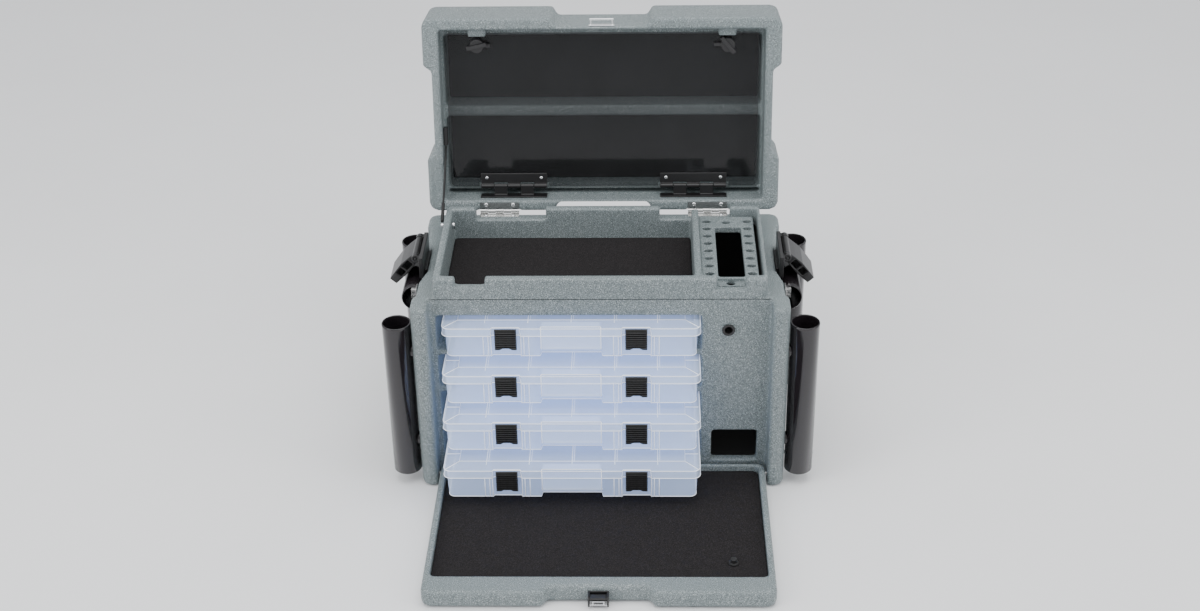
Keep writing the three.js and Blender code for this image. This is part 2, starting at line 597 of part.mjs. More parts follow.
function doorPost() {
  const centre = [182.5, -341];
  return join(rod('z', centre, [16 + GAP, 24.5], 4.5, 20), rod('z', centre, [16 + GAP, 18.5], 7, 20));
}

function doorPin(side) {
  return rod('x', [DOOR_AXIS.y, DOOR_AXIS.z], span(side * 230, side * 256), 3, 16);
}

// Draw latch in the notch of the door's free edge: a cheeked base, a lever and a wire bail.
const LATCH = { half: 14, cheek: 2.5, front: -416, z: [3, 19.5], pin: 1.2 };
const LEVER = { y: -408, z: 14.8, barrel: 2.8 };
const BAIL = { y: -414, z: 5, half: 8.5, height: 5.5, wire: 1 };

function latchBase() {
  const face = doorFar + NOTCH.depth - GAP;
  const plate = block([-LATCH.half, LATCH.half], [face - 2, face], LATCH.z);
  const cheeks = [-1, 1].map((side) => block(span(side * (LATCH.half - LATCH.cheek), side * LATCH.half),
    [LATCH.front, face - 1], LATCH.z));
  const across = [-LATCH.half - 1, LATCH.half + 1];
  return cut(join(plate, ...cheeks), rod('x', [LEVER.y, LEVER.z], across, LATCH.pin + GAP, 10),
    rod('x', [BAIL.y, BAIL.z], across, BAIL.wire + GAP, 10));
}

function latchLever() {
  const half = LATCH.half - LATCH.cheek - GAP;
  const arm = block([-half, half], [LATCH.front, LEVER.y], [LEVER.z, LEVER.z + LEVER.barrel]);
  const pin = rod('x', [LEVER.y, LEVER.z], [-LATCH.half, LATCH.half], LATCH.pin, 10);
  return join(arm, rod('x', [LEVER.y, LEVER.z], [-half, half], LEVER.barrel, 16), pin);
}

function latchBail() {
  const foot = rod('x', [BAIL.y, BAIL.z], [-LATCH.half, LATCH.half], BAIL.wire, 10);
  const top = rod('x', [BAIL.y, BAIL.z + BAIL.height], [-BAIL.half, BAIL.half], BAIL.wire, 10);
  const legs = [-1, 1].map((side) => rod('z', [side * (BAIL.half - BAIL.wire), BAIL.y],
    [BAIL.z, BAIL.z + BAIL.height], BAIL.wire, 10));
  return join(foot, top, ...legs);
}

part('door_shell', doorShell(), 'shell');
part('door_liner', doorLiner(), 'foam');
part('door_post', doorPost(), 'rubber');
part('latch_base', latchBase(), 'black');
part('latch_lever', latchLever(), 'black');
part('latch_bail', latchBail(), 'chrome');
for (const [word, side] of SIDES) part(`door_pin_${word}`, doorPin(side), 'steel');

// ---- utility trays ----
function trayBase(front, floor) {
  const x = [BOX_X - BOX_W / 2 + 4.5, BOX_X + BOX_W / 2 - 4.5];
  const y = [front + 4.5, front + BOX_D - 4.5];
  const z = [floor, floor + BOX_H - BOX_WALL - GAP];
  const shell = upright(roundedRect(x, y, 8), z, 2);
  const cavity = upright(roundedRect([x[0] + BOX_WALL, x[1] - BOX_WALL],
    [y[0] + BOX_WALL, y[1] - BOX_WALL], 6), [z[0] + BOX_WALL, z[1] + 1], 2);
  const gripCut = block([BOX_X - 42, BOX_X + 42], [front, front + 12], [floor - 1, floor + 13]);
  const gripWall = block([BOX_X - 44, BOX_X + 44], [y[0], front + 14], [floor, floor + 15]);
  const bars = [-1, 1].map((k) => block([x[0] + 1, x[1] - 1],
    [y[0] + BOX_D / 2 + k * 38 - 0.8, y[0] + BOX_D / 2 + k * 38 + 0.8], [floor + 1, z[1] - 3]));
  const bowl = join(cut(shell, cavity), gripWall, ...bars);
  return cut(bowl, gripCut);
}

function trayLid(front, floor) {
  const x = [BOX_X - BOX_W / 2, BOX_X + BOX_W / 2];
  const y = [front, front + BOX_D];
  const top = floor + BOX_H;
  const outer = softSlab(roundedRect(x, y, 9), [top - SKIRT - 2, top], 1.5, 2)
    .subtract(block([x[0] - 1, x[1] + 1], [y[0] - 1, y[1] + 1], [top - SKIRT - 3, top - SKIRT]));
  const inner = upright(roundedRect([x[0] + 3.5, x[1] - 3.5], [y[0] + 3.5, y[1] - 3.5], 8),
    [top - SKIRT - 1, top - BOX_WALL], 2);
  const well = upright(roundedRect([x[0] + 16, x[1] - 16], [y[0] + 20, y[1] - 14], 6),
    [top - 0.8, top + 1], 2);
  return cut(outer, inner, well);
}

// A latch turns at its foot on the tray base and snaps up over the lid's rim.
function trayLatch(front, floor, side) {
  const x = BOX_X + side * LATCH_X;
  const z = [floor + 14, floor + 48];
  const face = front - 0.5;
  const plate = block([x - 15.5, x + 15.5], [face - 3.4, face], z);
  const finger = rod('y', [x, z[0]], [face - 5, face + 1], 8, 16);
  const ribs = [];
  for (let i = 0; i < LATCH_RIBS; i += 1) {
    const rx = x + 5.8 * (i - (LATCH_RIBS - 1) / 2);
    ribs.push(block([rx - 1.2, rx + 1.2], [face - 4.4, face - 3], [floor + 24, floor + 45]));
  }
  return cut(join(plate, ...ribs), finger);
}

TRAY_OUTSTEP.forEach((out, i) => {
  const n = i + 1;
  const floor = BOX_FLOOR + BOX_PITCH * (3 - i);
  const front = PANEL_Y - out;
  part(`tray_${n}_base`, trayBase(front, floor), 'clear');
  part(`tray_${n}_lid`, trayLid(front, floor), 'clear');
  for (const [word, side] of SIDES) {
    part(`tray_${n}_latch_${word}`, trayLatch(front, floor, side), 'black');
  }
});

export default tackleBox;
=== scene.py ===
import json
import math
import random

import bmesh
import bpy
from mathutils import Matrix, Vector
from mathutils import noise as mnoise

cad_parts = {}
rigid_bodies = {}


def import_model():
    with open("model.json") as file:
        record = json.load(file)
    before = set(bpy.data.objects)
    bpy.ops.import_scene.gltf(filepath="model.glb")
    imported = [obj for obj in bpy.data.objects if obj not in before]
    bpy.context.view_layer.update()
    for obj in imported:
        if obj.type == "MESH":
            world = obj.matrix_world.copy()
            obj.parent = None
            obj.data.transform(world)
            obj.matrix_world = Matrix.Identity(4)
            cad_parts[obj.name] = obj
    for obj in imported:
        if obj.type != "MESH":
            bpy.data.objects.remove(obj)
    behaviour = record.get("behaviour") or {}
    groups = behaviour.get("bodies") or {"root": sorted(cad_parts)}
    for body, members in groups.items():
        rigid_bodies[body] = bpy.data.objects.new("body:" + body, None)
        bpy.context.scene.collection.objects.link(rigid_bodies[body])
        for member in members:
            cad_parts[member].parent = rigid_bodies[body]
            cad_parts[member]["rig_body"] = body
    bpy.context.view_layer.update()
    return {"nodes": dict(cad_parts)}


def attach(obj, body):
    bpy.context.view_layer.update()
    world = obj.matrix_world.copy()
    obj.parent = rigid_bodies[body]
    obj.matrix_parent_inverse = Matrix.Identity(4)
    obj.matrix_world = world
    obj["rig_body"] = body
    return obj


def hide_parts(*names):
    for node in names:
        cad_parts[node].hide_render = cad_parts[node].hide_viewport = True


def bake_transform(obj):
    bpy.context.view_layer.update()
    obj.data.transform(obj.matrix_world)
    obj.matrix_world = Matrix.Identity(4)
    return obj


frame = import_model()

MM = 0.001
RNG = random.Random(7)
SIDES = (("left", -1), ("right", 1))
NODES = frame["nodes"]

# ---- driving dimensions, in millimetres unless a line says otherwise ----
LID_TURN = math.radians(99)               # the open lid's turn from shut
LID_BODIES = ("lid", "cover", "knob_left", "knob_right")
HINGE_Y, HINGE_Z = 145, 304               # the lid's hinge line
LID_EDGE, LID_RIM = -1, -2                # back edge and rim of the shut lid, from the hinge line
PANEL_Y = -113                            # front panel
SEAM_Z, SEAM_HALF, SEAM_STEP = 299, 238, 14
CHAMBER = ((148, 230), (-101.5, 102), (22, 304))   # black inside of the lure chamber, in x, y and z

TUBE_RADIUS, TUBE_WALL, TUBE_LIP = 20.5, 2, 1.2
TUBE_X, TUBE_Z = 286, (19, 267)
TUBE_ROWS = (("front", -121), ("rear", 119))
BOSS_X, BOSS_Z = 267, (71, 221)           # bosses that hold a rod tube to its pillar
BOSS = ((0, -6), (8.5, -6), (9.5, -4), (9.5, 4), (8.5, 6), (0, 6))
TUBE_SCREW = {"out": 20.6, "z": 46, "radius": 2.6}
SIDE_TUBE_X, SIDE_TUBE_Y, SIDE_TUBE_Z = 267.5, (-45, 92), 261.5
PAD_X, PAD_ROWS = 247.4, (("front", -29), ("rear", 77))
PAD = ((0, -1), (6, -1), (7, 0), (6, 1), (0, 1))

LEAF_SCREW_X, COVER_SCREW_X = (137, 178), (95, 178)
LID_SCREW, COVER_SCREW = (9.5, 0), (43, 28.7)      # from the hinge edge, and below the rim
BODY_SCREW = (134.5, 301.8)                        # y and z
LEAF_SCREW_RADIUS, COVER_SCREW_RADIUS = 3, 2.8

STAY_TOP = (-237, 96.5, 19)               # x, from the hinge edge, below the rim
STAY_FOOT = (-237.5, 76, 322.5)
STAY_SAG, CORD_RADIUS, SLEEVE_RADIUS = 2.2, 1.6, 2.6

BOX_X, BOX_W, BOX_D, PITCH = -41, 364, 232, 61.5   # utility trays
LOWEST_FLOOR = 30.5
OUTSTEP = (21, 48, 75, 103)               # how far each tray stands out, from the top one down
TUB_Z = (0.4, 14, 14.4, 46)               # tub: foot, grip recess, the step above it, rim
DIVIDER_Z, RIB_Z = (1, 40), (2, 36)
SKIRT_Z = (36, 47.6, 48.8)                # lid: foot, shoulder and top of its skirt
CROWN_Z, TAB_Z = 48.9, (14.5, 51.5)       # lines on the lid's top, and the grip tab
LINE_RADIUS, LINE_OUT = 0.55, 0.6
LATCH_X, LATCH_HALF, SLOT_HALF, TAB_HALF, RECESS_HALF = 91.5, 15.5, 20, 42, 43
LATCH_Z, LATCH_FACE, LATCH_BACK, GROOVE_OUT = (14.5, 48.5), 2.6, 0.6, 3.4
SCOOP_HEIGHT, SCOOP_HALF = 3.2, 8.5
LATCH_ROWS, LATCH_COLUMNS = 96, 24
RIB_PITCH, RIB_COUNT, RIB_HEIGHT, RIB_START = 3.5, 8, 1.5, 4.2

CAMERA = {"pitch": 30.595, "yaw": -1.702, "roll": -0.974, "lens": 51.95,    # degrees, lens in mm
          "at": (0.0617, -2.1909, 1.5183)}                                  # metres
LAMPS = (  # name, place, aim and size in metres, then watts
    ("overhead", (0.1, -0.3, 2.4), (0, -0.1, 0.2), (2.2, 1.8), 34),
    ("left_box", (-2.0, -1.3, 1.5), (0, 0, 0.25), (1.2, 1.6), 22),
    ("right_box", (2.0, -1.0, 1.3), (0, 0, 0.25), (0.9, 1.5), 13),
)
FLOOR_HALF, FLOOR_Z = 9, -0.001           # metres


# ---- camera and studio ----
def add_camera():
    pitch, yaw, roll = (math.radians(CAMERA[k]) for k in ("pitch", "yaw", "roll"))
    fwd = Vector((math.sin(yaw) * math.cos(pitch), math.cos(yaw) * math.cos(pitch), -math.sin(pitch)))
    right = Vector((math.cos(yaw), -math.sin(yaw), 0))
    up = right.cross(fwd)
    x = right * math.cos(roll) + up * math.sin(roll)
    y = up * math.cos(roll) - right * math.sin(roll)
    cam = bpy.data.cameras.new("camera")
    cam.lens = CAMERA["lens"]
    cam.sensor_width = 36
    cam.clip_end = 50
    ob = bpy.data.objects.new("camera", cam)
    bpy.context.scene.collection.objects.link(ob)
    m = Matrix((x, y, -fwd)).transposed().to_4x4()
    m.translation = Vector(CAMERA["at"])
    ob.matrix_world = m
    bpy.context.scene.camera = ob


def area_light(name, at, aim, size, power):
    lamp = bpy.data.lights.new(name, "AREA")
    lamp.shape = "RECTANGLE"
    lamp.size, lamp.size_y = size
    lamp.energy = power
    ob = bpy.data.objects.new(name, lamp)
    bpy.context.scene.collection.objects.link(ob)
    ob.location = at
    ob.rotation_euler = (Vector(aim) - Vector(at)).to_track_quat("-Z", "Y").to_euler()


def add_studio():
    world = bpy.data.worlds.new("studio")
    bpy.context.scene.world = world
    world.use_nodes = True
    world.node_tree.nodes["Background"].inputs["Color"].default_value = (0.95, 0.97, 1, 1)
    world.node_tree.nodes["Background"].inputs["Strength"].default_value = 0.95
    for lamp in LAMPS:
        area_light(*lamp)
    mesh = bpy.data.meshes.new("floor")
    corners = [(x * FLOOR_HALF, y * FLOOR_HALF, FLOOR_Z) for x, y in ((-1, -1), (1, -1), (1, 1), (-1, 1))]
    mesh.from_pydata(corners, [], [(0, 1, 2, 3)])
    floor = bpy.data.objects.new("floor", mesh)
    bpy.context.scene.collection.objects.link(floor)
    floor.data.materials.append(simple("floor", (0.93, 0.93, 0.935), 0.9, bump=0, scale=3, vary=0.01))


# ---- materials ----
def new_material(name):
    mat = bpy.data.materials.new(name)
    mat.use_nodes = True
    tree = mat.node_tree
    return mat, tree, tree.nodes["Principled BSDF"]


def noise_node(tree, scale, detail=3, rough=0.6):
    coord = tree.nodes.new("ShaderNodeTexCoord")
    tex = tree.nodes.new("ShaderNodeTexNoise")
    tex.inputs["Scale"].default_value = scale
    tex.inputs["Detail"].default_value = detail
    tex.inputs["Roughness"].default_value = rough
    tree.links.new(coord.outputs["Object"], tex.inputs["Vector"])
    return tex


def ramp(tree, source, stops):
    node = tree.nodes.new("ShaderNodeValToRGB")
    els = node.color_ramp.elements
    while len(els) < len(stops):
        els.new(0.5)
    for el, (at, col) in zip(els, stops):
        el.position = at
        el.color = (*col, 1)
    tree.links.new(source, node.inputs["Fac"])
    return node.outputs["Color"]


def bump_node(tree, bsdf, source, strength, distance=0.001):
    node = tree.nodes.new("ShaderNodeBump")
    node.inputs["Strength"].default_value = strength
    node.inputs["Distance"].default_value = distance
    tree.links.new(source, node.inputs["Height"])
    tree.links.new(node.outputs["Normal"], bsdf.inputs["Normal"])


def simple(name, col, rough, metal=0.0, bump=0.05, scale=300, vary=0.12, alpha=1.0, coat=0.0, painted_glow=0.0):
    """A material whose colour drifts a little over the surface; painted_glow adds emission, painted light
    from a surface that is no lamp.
    """
    mat, tree, bsdf = new_material(name)
    tex = noise_node(tree, scale)
    low = tuple(c * (1 - vary) for c in col)
    high = tuple(min(1, c * (1 + vary)) for c in col)
    tree.links.new(ramp(tree, tex.outputs["Fac"], [(0.35, low), (0.65, high)]), bsdf.inputs["Base Color"])
    bsdf.inputs["Roughness"].default_value = rough
    bsdf.inputs["Metallic"].default_value = metal
    bsdf.inputs["Alpha"].default_value = alpha
    bsdf.inputs["Coat Weight"].default_value = coat
    # Emission is painted light: it makes a surface shine a little though it is no lamp.
    bsdf.inputs["Emission Color"].default_value = (*col, 1)
    bsdf.inputs["Emission Strength"].default_value = painted_glow
    if bump:
        bump_node(tree, bsdf, tex.outputs["Fac"], bump)
    return mat


def granite():
    """Rotomoulded plastic with light and dark specks and a soft orange-peel skin."""
    mat, tree, bsdf = new_material("shell_granite")
    fine = noise_node(tree, 900, 2, 0.65)
    specks = ramp(tree, fine.outputs["Fac"], [
        (0.33, (0.050, 0.062, 0.066)), (0.43, (0.155, 0.185, 0.190)),
        (0.57, (0.200, 0.235, 0.240)), (0.67, (0.56, 0.60, 0.60))])
    broad = noise_node(tree, 9, 3, 0.5)
    tint = ramp(tree, broad.outputs["Fac"], [(0.3, (0.93, 0.95, 0.95)), (0.7, (1, 1, 1))])
    mix = tree.nodes.new("ShaderNodeMix")
    mix.data_type = "RGBA"
    mix.blend_type = "MULTIPLY"
    mix.inputs[0].default_value = 1
    tree.links.new(specks, mix.inputs[6])
    tree.links.new(tint, mix.inputs[7])
    tree.links.new(mix.outputs[2], bsdf.inputs["Base Color"])
    bsdf.inputs["Roughness"].default_value = 0.55
    bump_node(tree, bsdf, noise_node(tree, 420, 2, 0.5).outputs["Fac"], 0.25)
    return mat


def felt():
    """Charcoal needle-felt foam with a few pale lint specks."""
    mat, tree, bsdf = new_material("foam_felt")
    fine = noise_node(tree, 900, 4, 0.8)
    col = ramp(tree, fine.outputs["Fac"], [
        (0.30, (0.006, 0.0055, 0.0055)), (0.50, (0.017, 0.0155, 0.016)),
        (0.66, (0.040, 0.036, 0.037)), (0.80, (0.16, 0.15, 0.14))])
    tree.links.new(col, bsdf.inputs["Base Color"])
    bsdf.inputs["Roughness"].default_value = 0.95
    bsdf.inputs["Specular IOR Level"].default_value = 0.15
    bump_node(tree, bsdf, fine.outputs["Fac"], 0.2)
    return mat


def brushed():
    """Stainless sheet, with a fine grain along x."""
    mat, tree, bsdf = new_material("steel_brushed")
    coord = tree.nodes.new("ShaderNodeTexCoord")
    mapping = tree.nodes.new("ShaderNodeMapping")
    mapping.inputs["Scale"].default_value = (60, 1500, 1500)
    tex = tree.nodes.new("ShaderNodeTexNoise")
    tex.inputs["Scale"].default_value = 1
    tree.links.new(coord.outputs["Object"], mapping.inputs["Vector"])
    tree.links.new(mapping.outputs["Vector"], tex.inputs["Vector"])
    col = ramp(tree, tex.outputs["Fac"], [(0.3, (0.52, 0.52, 0.51)), (0.7, (0.74, 0.74, 0.73))])
    tree.links.new(col, bsdf.inputs["Base Color"])
    bsdf.inputs["Metallic"].default_value = 1
    bsdf.inputs["Roughness"].default_value = 0.27
    return mat


def smoked():
    """Clear, faintly smoky sheet: it lets the lining show and mirrors the room a little."""
    mat, tree, bsdf = new_material("cover_clear")
    tex = noise_node(tree, 14, 2, 0.5)
    col = ramp(tree, tex.outputs["Fac"], [(0.3, (0.016, 0.017, 0.018)), (0.7, (0.024, 0.025, 0.027))])
    tree.links.new(col, bsdf.inputs["Base Color"])
    bsdf.inputs["Roughness"].default_value = 0.04
    bsdf.inputs["IOR"].default_value = 1.6
    bsdf.inputs["Alpha"].default_value = 0.30
    return mat


MAT = {
    "shell": granite(),
    "foam": felt(),
    "steel": brushed(),
    "cover": smoked(),
    "chrome": simple("chrome_bright", (0.78, 0.79, 0.80), 0.10, metal=1, bump=0.01, vary=0.05),
    "black": simple("black_satin", (0.012, 0.0115, 0.012), 0.30, bump=0.08, scale=500),
    "latch": simple("latch_black", (0.022, 0.021, 0.022), 0.42, bump=0.1, scale=500),
    # Matt black for the real rubber parts; it also draws the painted shadow along the front seam.
    "rubber": simple("rubber_matt_and_shadow", (0.011, 0.011, 0.011), 0.65, bump=0.2, scale=700),
    "tube": simple("tube_gloss", (0.013, 0.0105, 0.0125), 0.13, bump=0.012, scale=25, coat=0.15),
    # inner: painted shade, a deeper black for the latch faces between and behind its ribs.
    "inner": simple("latch_groove_shade", (0.004, 0.004, 0.004), 0.6, bump=0.05, scale=200),
    # clear, lid and edge: painted light, their emission stands in for studio light passing through the
    # clear trays.
    "clear": simple("tray_clear_painted_glow", (0.60, 0.73, 1.0), 0.16,
                    bump=0.03, scale=40, vary=0.02, alpha=0.44, painted_glow=0.27),
    "lid": simple("tray_lid_clear_painted_glow", (0.63, 0.75, 1.0), 0.13,
                  bump=0.02, scale=30, vary=0.02, alpha=0.47, painted_glow=0.29),
    # edge: painted highlight, near-white and glowing, for the lit edges of the clear tray mouldings.
    "edge": simple("tray_edge_highlight", (0.93, 0.95, 1.0), 0.3,
                   bump=0.02, scale=80, vary=0.02, alpha=0.95, painted_glow=0.34),
}


# ---- mesh helpers ----
def link(name, mesh, mat, body, nodes=()):
    ob = bpy.data.objects.new(name, mesh)
    bpy.context.scene.collection.objects.link(ob)
    ob.data.materials.append(MAT[mat])
    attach(ob, body)
    if nodes:
        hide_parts(*nodes)
    return ob


def shade(mesh, smooth=True):
    mesh.polygons.foreach_set("use_smooth", [smooth] * len(mesh.polygons))


def apply_modifiers(ob):
    deps = bpy.context.evaluated_depsgraph_get()
    mesh = bpy.data.meshes.new_from_object(ob.evaluated_get(deps))
    ob.modifiers.clear()
    ob.data = mesh
    return mesh


def body_of(node):
    return NODES[node]["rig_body"]


def soften(node, name, mat, voxel, rounds, relief=0.0, grain=60.0):
    """A moulded copy of a CAD node: remeshed fine, edges eased, with a little unevenness."""
    ob = bpy.data.objects.new(name, NODES[node].data.copy())
    bpy.context.scene.collection.objects.link(ob)
    ob.data.materials.clear()
    turn = Matrix.Rotation(LID_TURN if body_of(node) in LID_BODIES else 0, 4, "X")
    ob.data.transform(turn)
    weld = ob.modifiers.new("weld", "WELD")
    weld.merge_threshold = 1e-5
    mesh_mod = ob.modifiers.new("remesh", "REMESH")
    mesh_mod.mode = "VOXEL"
    mesh_mod.voxel_size = voxel
    mesh_mod.use_smooth_shade = True
    ease = ob.modifiers.new("ease", "SMOOTH")
    ease.factor = 0.5
    ease.iterations = rounds
    mesh = apply_modifiers(ob)
    if relief:
        for v, n in zip(mesh.vertices, [Vector(k.vector) for k in mesh.vertex_normals]):
            v.co += n * (mnoise.noise(v.co * grain) * relief)
    mesh.transform(turn.inverted())
    shade(mesh)
    ob.data.materials.append(MAT[mat])
    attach(ob, body_of(node))
    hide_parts(node)
    return ob


def tube_mesh(name, points, radius, sides=12, closed=False):
    """A tube swept along points, with its ends capped."""
    bm = bmesh.new()
    rings = []
    n = len(points)
    normal = None
    for i, p in enumerate(points):
        a = points[(i - 1) % n] if closed or i else points[0]
        b = points[(i + 1) % n] if closed or i < n - 1 else points[-1]
        t = (b - a).normalized()
        if normal is None:
            normal = t.orthogonal().normalized()
        normal = (normal - t * normal.dot(t)).normalized()
        side = t.cross(normal)
        rings.append([bm.verts.new(p + (normal * math.cos(k) + side * math.sin(k)) * radius)
                      for k in (2 * math.pi * j / sides for j in range(sides))])
    for i in range(n if closed else n - 1):
        r0, r1 = rings[i], rings[(i + 1) % n]
        for j in range(sides):
            bm.faces.new((r0[j], r0[(j + 1) % sides], r1[(j + 1) % sides], r1[j]))
    if not closed:
        bm.faces.new(list(reversed(rings[0])))
        bm.faces.new(rings[-1])
    mesh = bpy.data.meshes.new(name)
    bm.to_mesh(mesh)
    bm.free()
    shade(mesh)
    return mesh


def joined(name, meshes):
    bm = bmesh.new()
    for m in meshes:
        bm.from_mesh(m)
    mesh = bpy.data.meshes.new(name)
    bm.to_mesh(mesh)
    bm.free()
    return mesh


def lathe(name, profile, at, axis, sides=48):
    """profile is (radius, height) pairs, turned about axis through at."""
    turn = Vector((0, 0, 1)).rotation_difference(Vector(axis)).to_matrix()
    bm = bmesh.new()
    rings = []
    for r, h in profile:
        if r < 1e-7:
            rings.append([bm.verts.new(Vector(at) + turn @ Vector((0, 0, h)))])
        else:
            rings.append([bm.verts.new(Vector(at) + turn @ Vector((r * math.cos(k), r * math.sin(k), h)))
                          for k in (2 * math.pi * j / sides for j in range(sides))])
    for a, b in zip(rings, rings[1:]):
        for j in range(sides):
            k = (j + 1) % sides
            face = [a[j % len(a)], a[k % len(a)], b[k % len(b)], b[j % len(b)]]
            face = list(dict.fromkeys(face))
            if len(face) > 2:
                bm.faces.new(face)
    bmesh.ops.recalc_face_normals(bm, faces=bm.faces)
    mesh = bpy.data.meshes.new(name)
    bm.to_mesh(mesh)
    bm.free()
    shade(mesh)
    return mesh


def screw_mesh(name, at, axis, r):
    """A domed screw head with a cross recess."""
    head = lathe(name, [(0, r * 0.30), (r * 0.28, r * 0.29), (r * 0.3, r * 0.52), (r * 0.62, r * 0.42),
                        (r * 0.9, r * 0.2), (r, 0), (r * 0.98, -r * 0.1), (0, -r * 0.1)], at, axis, 20)
    turn = Vector((0, 0, 1)).rotation_difference(Vector(axis)).to_matrix()
    spin = RNG.uniform(0, math.pi)
    bm = bmesh.new()
    bm.from_mesh(head)
    for q in (0, math.pi / 2):
        c, s = math.cos(spin + q), math.sin(spin + q)
        long, wide = Vector((c, s, 0)) * r * 0.62, Vector((-s, c, 0)) * r * 0.1
        top, low = Vector((0, 0, r * 0.53)), Vector((0, 0, r * 0.3))
        ring = [bm.verts.new(Vector(at) + turn @ (v + h)) for h in (low, top)
                for v in (long + wide, wide - long, -long - wide, long - wide)]
        for f in ((0, 1, 2, 3), (7, 6, 5, 4), (0, 4, 5, 1), (1, 5, 6, 2), (2, 6, 7, 3), (3, 7, 4, 0)):
            bm.faces.new([ring[i] for i in f])
    bm.to_mesh(head)
    bm.free()
    return head


# ---- shells, linings and hardware that follow the CAD closely ----
def add_mouldings():
    soften("body_shell", "body_moulding", "shell", 2.4 * MM, 3)
    soften("lid_shell", "lid_moulding", "shell", 2.4 * MM, 4)
    soften("door_shell", "door_moulding", "shell", 2.0 * MM, 3)
    soften("lure_rack", "rack_moulding", "shell", 0.9 * MM, 2)
    for node, name in (("tray_liner", "top_tray_felt"), ("lid_liner_lower", "lid_felt_lower"),
                       ("lid_liner_upper", "lid_felt_upper"), ("door_liner", "door_felt")):
        soften(node, name, "foam", 1.6 * MM, 2, relief=0.2 * MM, grain=45)
    for word, _ in SIDES:
        soften(f"handle_plate_{word}", f"handle_mount_{word}", "black", 0.8 * MM, 3)
        soften(f"handle_grip_{word}", f"handle_bail_{word}", "black", 0.7 * MM, 3)
        soften(f"cover_knob_{word}", f"knob_{word}", "latch", 0.45 * MM, 2)
        for part in ("cover_leaf", "cover_hinge_base"):
            soften(f"{part}_{word}", f"{part}_moulded_{word}", "black", 0.5 * MM, 2)
        soften(f"side_bracket_{word}", f"bracket_{word}", "steel", 0.5 * MM, 2)
    soften("panel_grommet", "grommet_ring", "black", 0.5 * MM, 3)
    soften("door_post", "bumper_post", "rubber", 0.5 * MM, 3)
    soften("stay_clip", "stay_clip_moulded", "black", 0.5 * MM, 2)
    soften("latch_base", "latch_housing", "black", 0.4 * MM, 2)
    soften("latch_lever", "latch_handle", "black", 0.35 * MM, 2)
    soften("latch_keeper", "keeper_wire", "chrome", 0.35 * MM, 3)
    soften("latch_bail", "bail_wire", "chrome", 0.3 * MM, 2)
    soften("stay_bolt", "stay_bolt_head", "chrome", 0.4 * MM, 2)


def line_chamber():
    """The lure chamber behind the window is black inside, as far as the panel's back."""
    mesh = bpy.data.objects["body_moulding"].data
    mesh.materials.append(MAT["rubber"])
    for face in mesh.polygons:
        if all(low < c / MM < high for c, (low, high) in zip(face.center, CHAMBER)):
            face.material_index = 1


def add_seam_shadow():
    """A painted shadow along the front: a thin matt black line where the panel meets the deck, standing in
    for the shade in that joint.
    """
    points = [Vector((x, PANEL_Y - 0.05, SEAM_Z)) * MM for x in range(-SEAM_HALF, SEAM_HALF + 1, SEAM_STEP)]
    link("front_seam_shadow", tube_mesh("seam_shadow", points, 0.45 * MM, 8), "rubber", "body")


def finish_cad():
    """CAD pieces that are shown as they are get their finish and eased edges."""
    for word, _ in SIDES:
        for node in (f"lid_leaf_{word}", f"body_leaf_{word}", f"door_pin_{word}"):
            paint(node, "steel", 0.25 * MM)
    paint("cover_panel", "cover", 0.6 * MM)


def paint(node, mat, edge):
    ob = NODES[node]
    ob.data.materials.clear()
    ob.data.materials.append(MAT[mat])
    bevel = ob.modifiers.new("edge", "BEVEL")
    bevel.width = edge
    bevel.segments = 2
    bevel.limit_method = "ANGLE"
    bevel.harden_normals = True


# ---- rod tubes ----
def metres(points):
    return [(a * MM, b * MM) for a, b in points]


def tube_profile(ends):
    """Section of a tube's wall as (radius, height) pairs, with a rolled lip at the far end."""
    z0, z1 = ends
    r, bore = TUBE_RADIUS, TUBE_RADIUS - TUBE_WALL
    return metres([
        (bore, z0), (r - TUBE_LIP, z0 - 0.3), (r, z0 + TUBE_LIP), (r, z1 - 4), (r + 0.25, z1 - TUBE_LIP),
        (r - 0.2, z1), (bore + 0.3, z1), (bore, z1 - TUBE_LIP), (bore, z0)])


def add_rod_tube(end, y, word, side):
    node = f"rod_tube_{end}_{word}"
    shell = lathe(node, tube_profile(TUBE_Z), Vector((side * TUBE_X, y, 0)) * MM, (0, 0, 1), 96)
    link(f"holder_{end}_{word}", shell, "tube", "body", [node])
    for z in BOSS_Z:
        boss = lathe("boss", metres(BOSS), Vector((side * BOSS_X, y, z)) * MM, (1, 0, 0), 24)
        link(f"holder_boss_{end}_{word}_{z}", boss, "tube", "body")
    for k in (-1, 1):
        at = Vector((side * TUBE_X + k * TUBE_SCREW["out"], y, TUBE_SCREW["z"])) * MM
        head = screw_mesh("screw", at, (k, 0, 0), TUBE_SCREW["radius"] * MM)
        where = "in" if k * side < 0 else "out"
        link(f"holder_screw_{end}_{word}_{where}", head, "chrome", "body")


def add_side_tube(word, side):
    at = Vector((side * SIDE_TUBE_X, 0, SIDE_TUBE_Z)) * MM
    shell = lathe("side", tube_profile(SIDE_TUBE_Y), at, (0, 1, 0), 96)
    link(f"side_holder_{word}", shell, "tube", "body", [f"side_tube_{word}"])
    for end, y in PAD_ROWS:
        pad = lathe("pad", metres(PAD), Vector((side * PAD_X, y, SIDE_TUBE_Z)) * MM, (1, 0, 0), 24)
        link(f"side_holder_pad_{end}_{word}", pad, "tube", "body")


def add_tubes():
    for end, y in TUBE_ROWS:
        for word, side in SIDES:
            add_rod_tube(end, y, word, side)
    for word, side in SIDES:
        add_side_tube(word, side)


# ---- screws ----
def lid_point(x, s, d):
    """A point of the lid at rest: s from the hinge edge, d below the rim, both in mm."""
    t = -LID_TURN
    y, z = LID_EDGE - s, LID_RIM + d
    turned = (y * math.cos(t) - z * math.sin(t), y * math.sin(t) + z * math.cos(t))
    return Vector((x, HINGE_Y + turned[0], HINGE_Z + turned[1])) * MM


def lid_normal():
    t = -LID_TURN
    return Vector((0, math.sin(t), -math.cos(t)))


